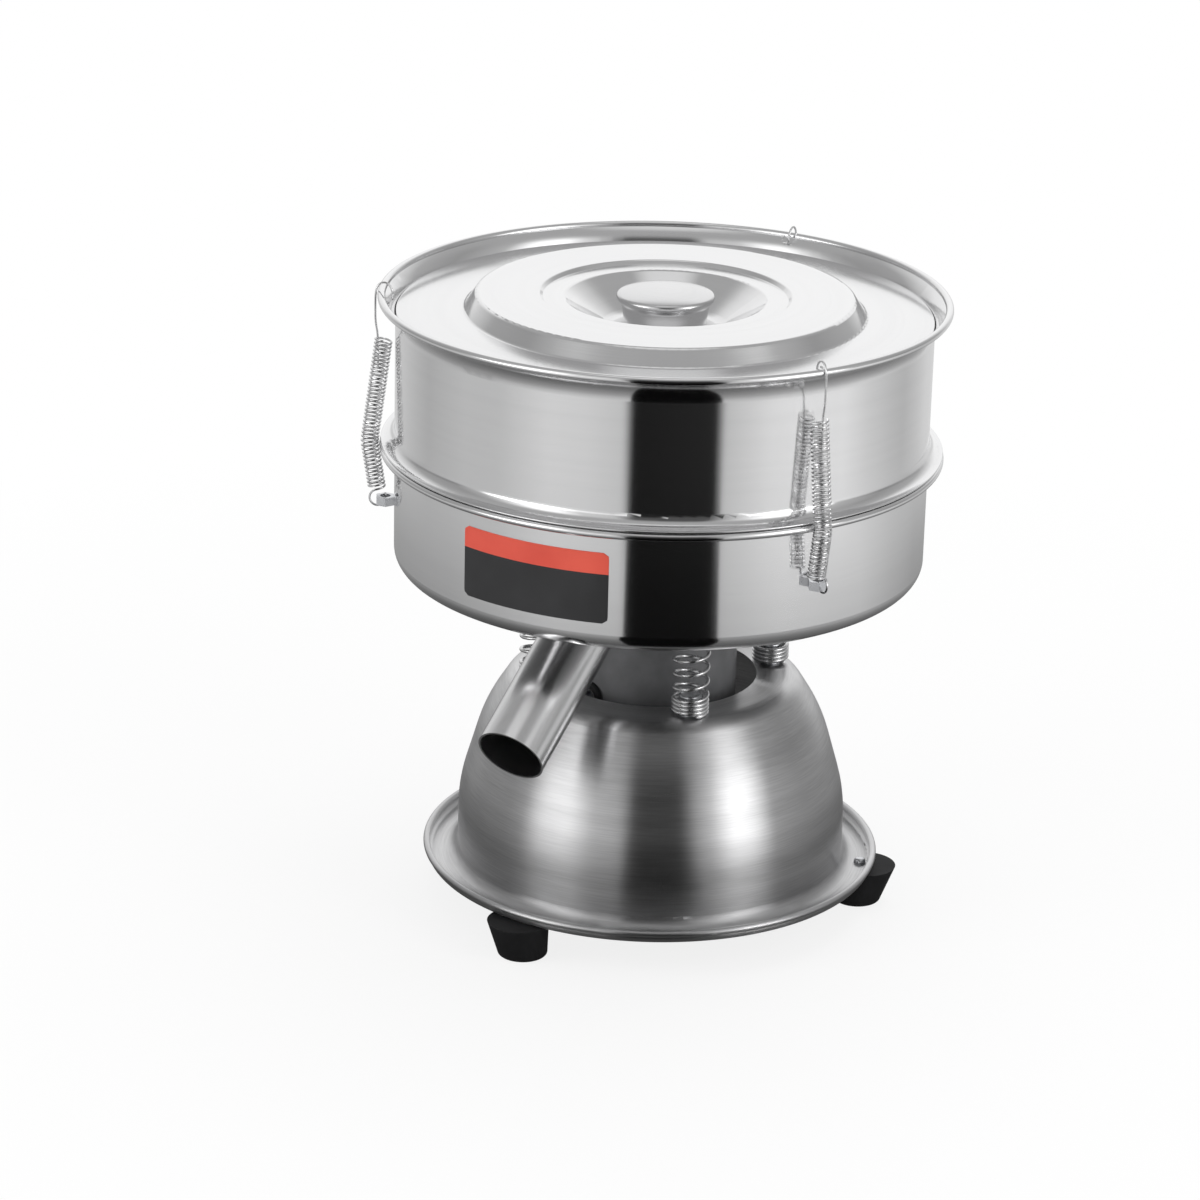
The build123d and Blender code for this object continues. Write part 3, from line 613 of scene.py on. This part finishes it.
def clampHook(values):
    count = values["curlSteps"]
    first = values["curlFrom"]
    turns = np.radians(np.linspace(first, first + values["curlTurn"], count))
    x, y, z = values["curlCentre"]
    reach, drift = values["curlRadius"], values["curlDrift"]
    curl = [
        (x - drift * k / count, y + reach * math.cos(t), z + reach * math.sin(t))
        for k, t in enumerate(turns)
    ]
    return softened(list(values["leg"]) + curl, values["rounds"]) * mm


hookPath = clampHook(hookSet)
for number, angle in enumerate(clampSet["angles"], 1):
    hook = wireMesh(
        f"clampHook{number}",
        turned(hookPath, angle),
        hookSet["wire"],
        hookSet["sides"],
        finishes["spring_steel"],
    )
    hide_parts(f"clamp_hook_{number}")
    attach(hook, f"hook_{number}")
print("hooks bent over the rim")

# Plain rating plate on the pan: printed vinyl, left without words
labelSet = {
    "middle": -134.0,
    "width": 90.0 * mm,
    "bottom": 218.6 * mm,
    "top": 258.8 * mm,
    "corner": 3.0 * mm,
    "band": 246.6 * mm,  # red above, black below
    "panRadius": 151.0 * mm,
    "lift": 0.02 * mm,  # clear of the pan's wall
    "thickness": 0.18 * mm,
    "grid": (48, 22),
    "cloud": 35.0,
    "speckle": 1600.0,
    "rough": (0.36, 0.48),
    "bump": 0.05,
    "depth": 0.1 * mm,
    "red": [(0.3, (0.72, 0.075, 0.045)), (0.7, (0.80, 0.10, 0.06))],
    "black": [(0.3, (0.012, 0.012, 0.013)), (0.7, (0.022, 0.022, 0.024))],
}


def labelMaterial(values):
    material, tree, shader = startMaterial("labelVinyl", Coat_Weight=0.15, Coat_Roughness=0.2)
    place = addNode(tree, "ShaderNodeTexCoord")
    split = addNode(tree, "ShaderNodeSeparateXYZ")
    tree.links.new(place.outputs["Object"], split.inputs[0])
    above = mathNode(tree, "GREATER_THAN", split.outputs[2], values["band"])
    grain = useGroup(
        tree,
        cloudyGrain,
        **{"Cloud Scale": values["cloud"], "Speckle Scale": values["speckle"]},
    )
    red = rampOf(tree, grain.outputs["Cloud"], values["red"])
    black = rampOf(tree, grain.outputs["Cloud"], values["black"])
    mix = tree.nodes.new("ShaderNodeMix")
    mix.data_type = "RGBA"
    tree.links.new(above, mix.inputs["Factor"])
    tree.links.new(black, mix.inputs["A"])
    tree.links.new(red, mix.inputs["B"])
    tree.links.new(mix.outputs["Result"], shader.inputs["Base Color"])
    tree.links.new(rangeOf(tree, grain.outputs["Cloud"], *values["rough"]), shader.inputs["Roughness"])
    bumpInto(tree, shader, grain.outputs["Speckle"], values["bump"], values["depth"])
    return material


def ratingPlate(values):
    # Grid that follows the pan's wall, corners rounded, with a thin edge
    columns, rows = values["grid"]
    half = values["width"] / 2
    middle = (values["bottom"] + values["top"]) / 2
    rise = (values["top"] - values["bottom"]) / 2
    points, faces = [], []
    for depth in (0.0, values["thickness"]):
        for row in range(rows + 1):
            level = -rise + 2 * rise * row / rows
            inset = max(0.0, abs(level) - (rise - values["corner"]))
            pull = values["corner"] - math.sqrt(max(0.0, values["corner"] ** 2 - inset**2))
            for column in range(columns + 1):
                arc = (half - pull) * (2 * column / columns - 1)
                turn = math.radians(values["middle"]) + arc / values["panRadius"]
                reach = values["panRadius"] + values["lift"] + depth
                points.append((reach * math.cos(turn), reach * math.sin(turn), middle + level))
    width = columns + 1
    front = (rows + 1) * width
    for row in range(rows):
        for column in range(columns):
            a = row * width + column
            faces.append((a, a + width, a + width + 1, a + 1))
            faces.append((front + a, front + a + 1, front + a + width + 1, front + a + width))
    rim = list(range(columns))
    rim += [row * width + columns for row in range(rows)]
    rim += [rows * width + columns - column for column in range(columns)]
    rim += [(rows - row) * width for row in range(rows)]
    for a, b in zip(rim, rim[1:] + rim[:1]):
        faces.append((a, b, front + b, front + a))
    return addMesh("ratingPlate", points, faces, labelMaterial(values))


plate = ratingPlate(labelSet)
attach(plate, "pan")
print("rating plate laid on the pan")

# Knob: turned cup with a crowned top
knobSet = {
    "profile": (  # radius, height
        (0.0, 341.7), (22.4, 341.7), (22.8, 342.1), (23.6, 348.0), (24.5, 354.4), (25.0, 355.6),
        (26.6, 357.2), (27.4, 358.2), (27.7, 359.2), (27.6, 360.2), (27.1, 361.0), (26.2, 361.5),
        (22.0, 362.5), (16.0, 363.4), (8.0, 363.9), (0.0, 364.0),
    ),
    "rounds": 2,
    "around": 128,
}


def spunPiece(name, values, material):
    # Turns a line of radius and height round the vertical axis
    line = softened([(r, 0.0, z) for r, z in values["profile"]], values["rounds"]) * mm
    around = values["around"]
    points, faces, rings = [], [], []
    for r, _, z in line:
        if r < 1e-6:  # on the axis, where a ring is one point
            rings.append([len(points)] * around)
            points.append((0.0, 0.0, z))
            continue
        rings.append(list(range(len(points), len(points) + around)))
        for k in range(around):
            turn = 2 * math.pi * k / around
            points.append((r * math.cos(turn), r * math.sin(turn), z))
    for low, high in zip(rings, rings[1:]):
        for k in range(around):
            n = (k + 1) % around
            corners = [low[k], low[n], high[n], high[k]]
            faces.append(tuple(dict.fromkeys(corners)))
    return addMesh(name, points, faces, material)


knob = spunPiece("lidKnob", knobSet, finishes["brushed_steel"])
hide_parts("lid_knob")
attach(knob, "lid")
print("knob turned")

# Floor and light: pale floor, glowing in reflections with painted shadow and painted light, white room
# with a dark gap behind the camera, three soft boxes
studioSet = {
    "floor": (0.86, 0.86, 0.86),
    "floorRings": (0.25, 0.9),
    "floorLevel": -0.2 * mm,
    "floorSides": 96,
    # Painted shadow: the floor glows in the metal's reflections, darker near the object where its
    # shadow falls
    "floorPaintedShadowInMetal": (  # reach, brightness
        (0.14, 0.07), (0.30, 0.14), (0.55, 0.29), (0.70, 0.39), (0.90, 0.60),
    ),
    # Painted light: the floor's glow in reflections is brighter or darker round the object, following
    # the room's light
    "floorPaintedLightAround": (  # degrees from the camera, share of that brightness
        (-180, 0.62), (-144, 0.64), (-90, 0.66), (-60, 0.76), (-38, 0.88), (-20, 0.86), (25, 0.82),
        (50, 1.0), (88, 1.0), (110, 0.80), (132, 0.66), (180, 0.62),
    ),
    "floorGain": 1.46,
    "floorFade": (0.35, 0.85, 0.84, 1.0),  # reach from, to; share of plain white from, to
    "card": (-12.3, 23.5),  # degrees either side of the camera
    "cardRings": (0.16, 0.9),
    "cardLevel": 0.4 * mm,
    "cardSteps": 12,
    "world": 0.55,  # plain light for matt surfaces
    "boxes": (  # name, azimuth from the camera, distance, height, width, tall, power
        ("softBox1", -62.0, 1.9, 1.0, 0.8, 1.7, 13.0),
        ("softBox2", 54.0, 1.9, 1.0, 0.8, 1.7, 13.0),
        ("topBox", 150.0, 0.6, 2.2, 1.6, 1.6, 22.0),
    ),
    "boxAim": (0, 0, 0.2),
    "lowRoom": (  # degrees from the camera, brightness of the room below eye level
        (-180, 0.70), (-142, 0.60), (-118, 0.47), (-92, 0.58), (-72, 0.57), (-48, 0.74),
        (-32, 0.72), (-16, 0.62), (-12, 0.012), (23, 0.020), (27, 0.60), (46, 0.80),
        (64, 0.86), (83, 0.88), (97, 0.70), (114, 0.57), (124, 0.52), (150, 0.70), (180, 0.70),
    ),
    "highRoom": (  # a little above eye level, with two tall bright windows
        (-180, 1.06), (-152, 0.90), (-124, 0.30), (-95, 0.24), (-80, 0.60), (-66, 4.2),
        (-50, 4.0), (-34, 1.3), (-19, 1.0), (-11, 0.01), (19, 0.01), (27, 0.60), (38, 1.6),
        (51, 6.0), (63, 5.2), (78, 0.50), (106, 0.24), (136, 0.40), (160, 1.0), (180, 1.06),
    ),
    "tallRoom": (  # higher up, where the windows end
        (-180, 1.06), (-152, 0.92), (-124, 0.40), (-95, 0.34), (-80, 0.45), (-68, 0.80),
        (-56, 1.4), (-46, 1.3), (-34, 0.70), (-19, 0.60), (-11, 0.09), (19, 0.09), (27, 0.45),
        (40, 0.9), (51, 1.6), (63, 1.4), (78, 0.50), (106, 0.34), (136, 0.45), (160, 1.0),
        (180, 1.06),
    ),
    "upperRoom": 0.42,
    "overhead": 0.80,
    "steps": ((-0.06, 0.08), (0.12, 0.24), (0.55, 0.78), (0.93, 0.99)),  # from one level to the next
}


def roundAbout(tree, x, y, stops):
    # Brightness that changes round the vertical axis, in degrees from the camera's side
    facing = mathNode(tree, "ARCTAN2", y, x)
    offset = mathNode(tree, "SUBTRACT", facing, math.radians(cameraSet["azimuth"]))
    around = mathNode(tree, "WRAP", offset, math.pi)
    around.node.inputs[2].default_value = -math.pi
    spot = mathNode(tree, "ADD", mathNode(tree, "DIVIDE", around, 2 * math.pi), 0.5)
    return rampOf(tree, spot, [((d + 180) / 360, (v, v, v)) for d, v in stops])


def studioWorld(values):
    world = bpy.data.worlds.new("studio")
    scene.world = world
    world.use_nodes = True
    tree = world.node_tree
    background = tree.nodes["Background"]
    place = addNode(tree, "ShaderNodeTexCoord")
    split = addNode(tree, "ShaderNodeSeparateXYZ")
    tree.links.new(place.outputs["Generated"], split.inputs[0])
    x, y, z = split.outputs

    def room(stops):
        return roundAbout(tree, x, y, stops)

    def blend(low, high, bottom, top):
        share = addNode(tree, "ShaderNodeMapRange", interpolation_type="SMOOTHSTEP")
        share.inputs["From Min"].default_value = bottom
        share.inputs["From Max"].default_value = top
        tree.links.new(z, share.inputs["Value"])
        mix = tree.nodes.new("ShaderNodeMix")
        mix.data_type = "RGBA"
        tree.links.new(share.outputs[0], mix.inputs["Factor"])
        tree.links.new(low, mix.inputs["A"])
        if isinstance(high, float):
            mix.inputs["B"].default_value = (high, high, high, 1.0)
        else:
            tree.links.new(high, mix.inputs["B"])
        return mix.outputs["Result"]

    seen = room(values["lowRoom"])
    above = (
        room(values["highRoom"]),
        room(values["tallRoom"]),
        values["upperRoom"],
        values["overhead"],
    )
    for level, (bottom, top) in zip(above, values["steps"]):
        seen = blend(seen, level, bottom, top)
    rays = addNode(tree, "ShaderNodeLightPath")
    shown = tree.nodes.new("ShaderNodeMix")
    shown.data_type = "RGBA"
    shown.inputs["A"].default_value = (values["world"],) * 3 + (1.0,)
    tree.links.new(rays.outputs["Is Glossy Ray"], shown.inputs["Factor"])
    tree.links.new(seen, shown.inputs["B"])
    white = tree.nodes.new("ShaderNodeMix")
    white.data_type = "RGBA"
    white.inputs["B"].default_value = (1.0, 1.0, 1.0, 1.0)
    tree.links.new(rays.outputs["Is Camera Ray"], white.inputs["Factor"])
    tree.links.new(shown.outputs["Result"], white.inputs["A"])
    tree.links.new(white.outputs["Result"], background.inputs["Color"])


def studioFloor(values):
    points, faces = [], []
    count = values["floorSides"]
    for reach in values["floorRings"]:
        for k in range(count):
            turn = 2 * math.pi * k / count
            points.append((reach * math.cos(turn), reach * math.sin(turn), values["floorLevel"]))
    for k in range(count):
        n = (k + 1) % count
        faces.append((k, count + k, count + n, n))
    faces.append(tuple(range(count)))
    material, tree, shader = startMaterial("floorPaper", Roughness=0.9)
    shader.inputs["Base Color"].default_value = (*values["floor"], 1.0)
    rays = addNode(tree, "ShaderNodeLightPath")
    place = addNode(tree, "ShaderNodeTexCoord")
    measure = addNode(tree, "ShaderNodeVectorMath", operation="LENGTH")
    tree.links.new(place.outputs["Object"], measure.inputs[0])
    # Painted shadow: glow seen only in reflections, darker near the object
    paintedShadowGlow = rampOf(
        tree, measure.outputs["Value"], [(reach, (v, v, v)) for reach, v in values["floorPaintedShadowInMetal"]]
    )
    fade = addNode(tree, "ShaderNodeMapRange")
    for name, value in zip(("From Min", "From Max", "To Min", "To Max"), values["floorFade"]):
        fade.inputs[name].default_value = value
    tree.links.new(measure.outputs["Value"], fade.inputs["Value"])
    split = addNode(tree, "ShaderNodeSeparateXYZ")
    tree.links.new(place.outputs["Object"], split.inputs[0])
    # Painted light: brightness round the floor's glow, following the room's light
    sideways = roundAbout(tree, split.outputs[0], split.outputs[1], values["floorPaintedLightAround"])
    shaded = addNode(tree, "ShaderNodeVectorMath", operation="MULTIPLY")
    tree.links.new(paintedShadowGlow, shaded.inputs[0])
    tree.links.new(sideways, shaded.inputs[1])
    surface = shader.outputs[0]
    # Camera rays see plain white; glossy rays see the floor's painted shadow and painted light
    for kind, share, colour in (
        ("Is Camera Ray", fade.outputs[0], None),
        ("Is Glossy Ray", 1.0, shaded.outputs[0]),
    ):
        glow = tree.nodes.new("ShaderNodeEmission")
        if colour is not None:
            tree.links.new(colour, glow.inputs["Color"])
            glow.inputs["Strength"].default_value = values["floorGain"]
        mix = tree.nodes.new("ShaderNodeMixShader")
        tree.links.new(mathNode(tree, "MULTIPLY", rays.outputs[kind], share), mix.inputs[0])
        tree.links.new(surface, mix.inputs[1])
        tree.links.new(glow.outputs[0], mix.inputs[2])
        surface = mix.outputs[0]
    # Seen from below, the floor is clear
    shape = addNode(tree, "ShaderNodeNewGeometry")
    clear = addNode(tree, "ShaderNodeBsdfTransparent")
    below = tree.nodes.new("ShaderNodeMixShader")
    tree.links.new(shape.outputs["Backfacing"], below.inputs[0])
    tree.links.new(surface, below.inputs[1])
    tree.links.new(clear.outputs[0], below.inputs[2])
    tree.links.new(below.outputs[0], tree.nodes["Material Output"].inputs["Surface"])
    addMesh("studioFloor", points, faces, material)


def darkCard(values):
    # Black paper on the floor in front, seen only in the polished metal
    points, faces = [], []
    first, last = values["card"]
    count = values["cardSteps"]
    for k in range(count + 1):
        turn = math.radians(cameraSet["azimuth"] + first + (last - first) * k / count)
        for reach in values["cardRings"]:
            points.append((reach * math.cos(turn), reach * math.sin(turn), values["cardLevel"]))
    for k in range(count):
        faces.append((2 * k, 2 * k + 1, 2 * k + 3, 2 * k + 2))
    material, tree, shader = startMaterial("blackPaper", Roughness=0.9, Specular_IOR_Level=0.0)
    shader.inputs["Base Color"].default_value = (0.001, 0.001, 0.001, 1.0)
    card = addMesh("darkCard", points, faces, material)
    card.visible_camera = False
    card.visible_diffuse = False
    card.visible_shadow = False


def softBox(name, azimuth, distance, height, width, tall, power):
    turn = math.radians(cameraSet["azimuth"] + azimuth)
    data = bpy.data.lights.new(name, "AREA")
    data.shape = "RECTANGLE"
    data.size, data.size_y = width, tall
    data.energy = power
    lamp = bpy.data.objects.new(name, data)
    lamp.visible_glossy = False  # the metal mirrors the room, not the lamps
    lamp.location = (distance * math.cos(turn), distance * math.sin(turn), height)
    aim = Vector(studioSet["boxAim"]) - lamp.location
    lamp.rotation_euler = aim.to_track_quat("-Z", "Y").to_euler()
    scene.collection.objects.link(lamp)


studioWorld(studioSet)
studioFloor(studioSet)
darkCard(studioSet)
for box in studioSet["boxes"]:
    softBox(*box)
print("studio lit")
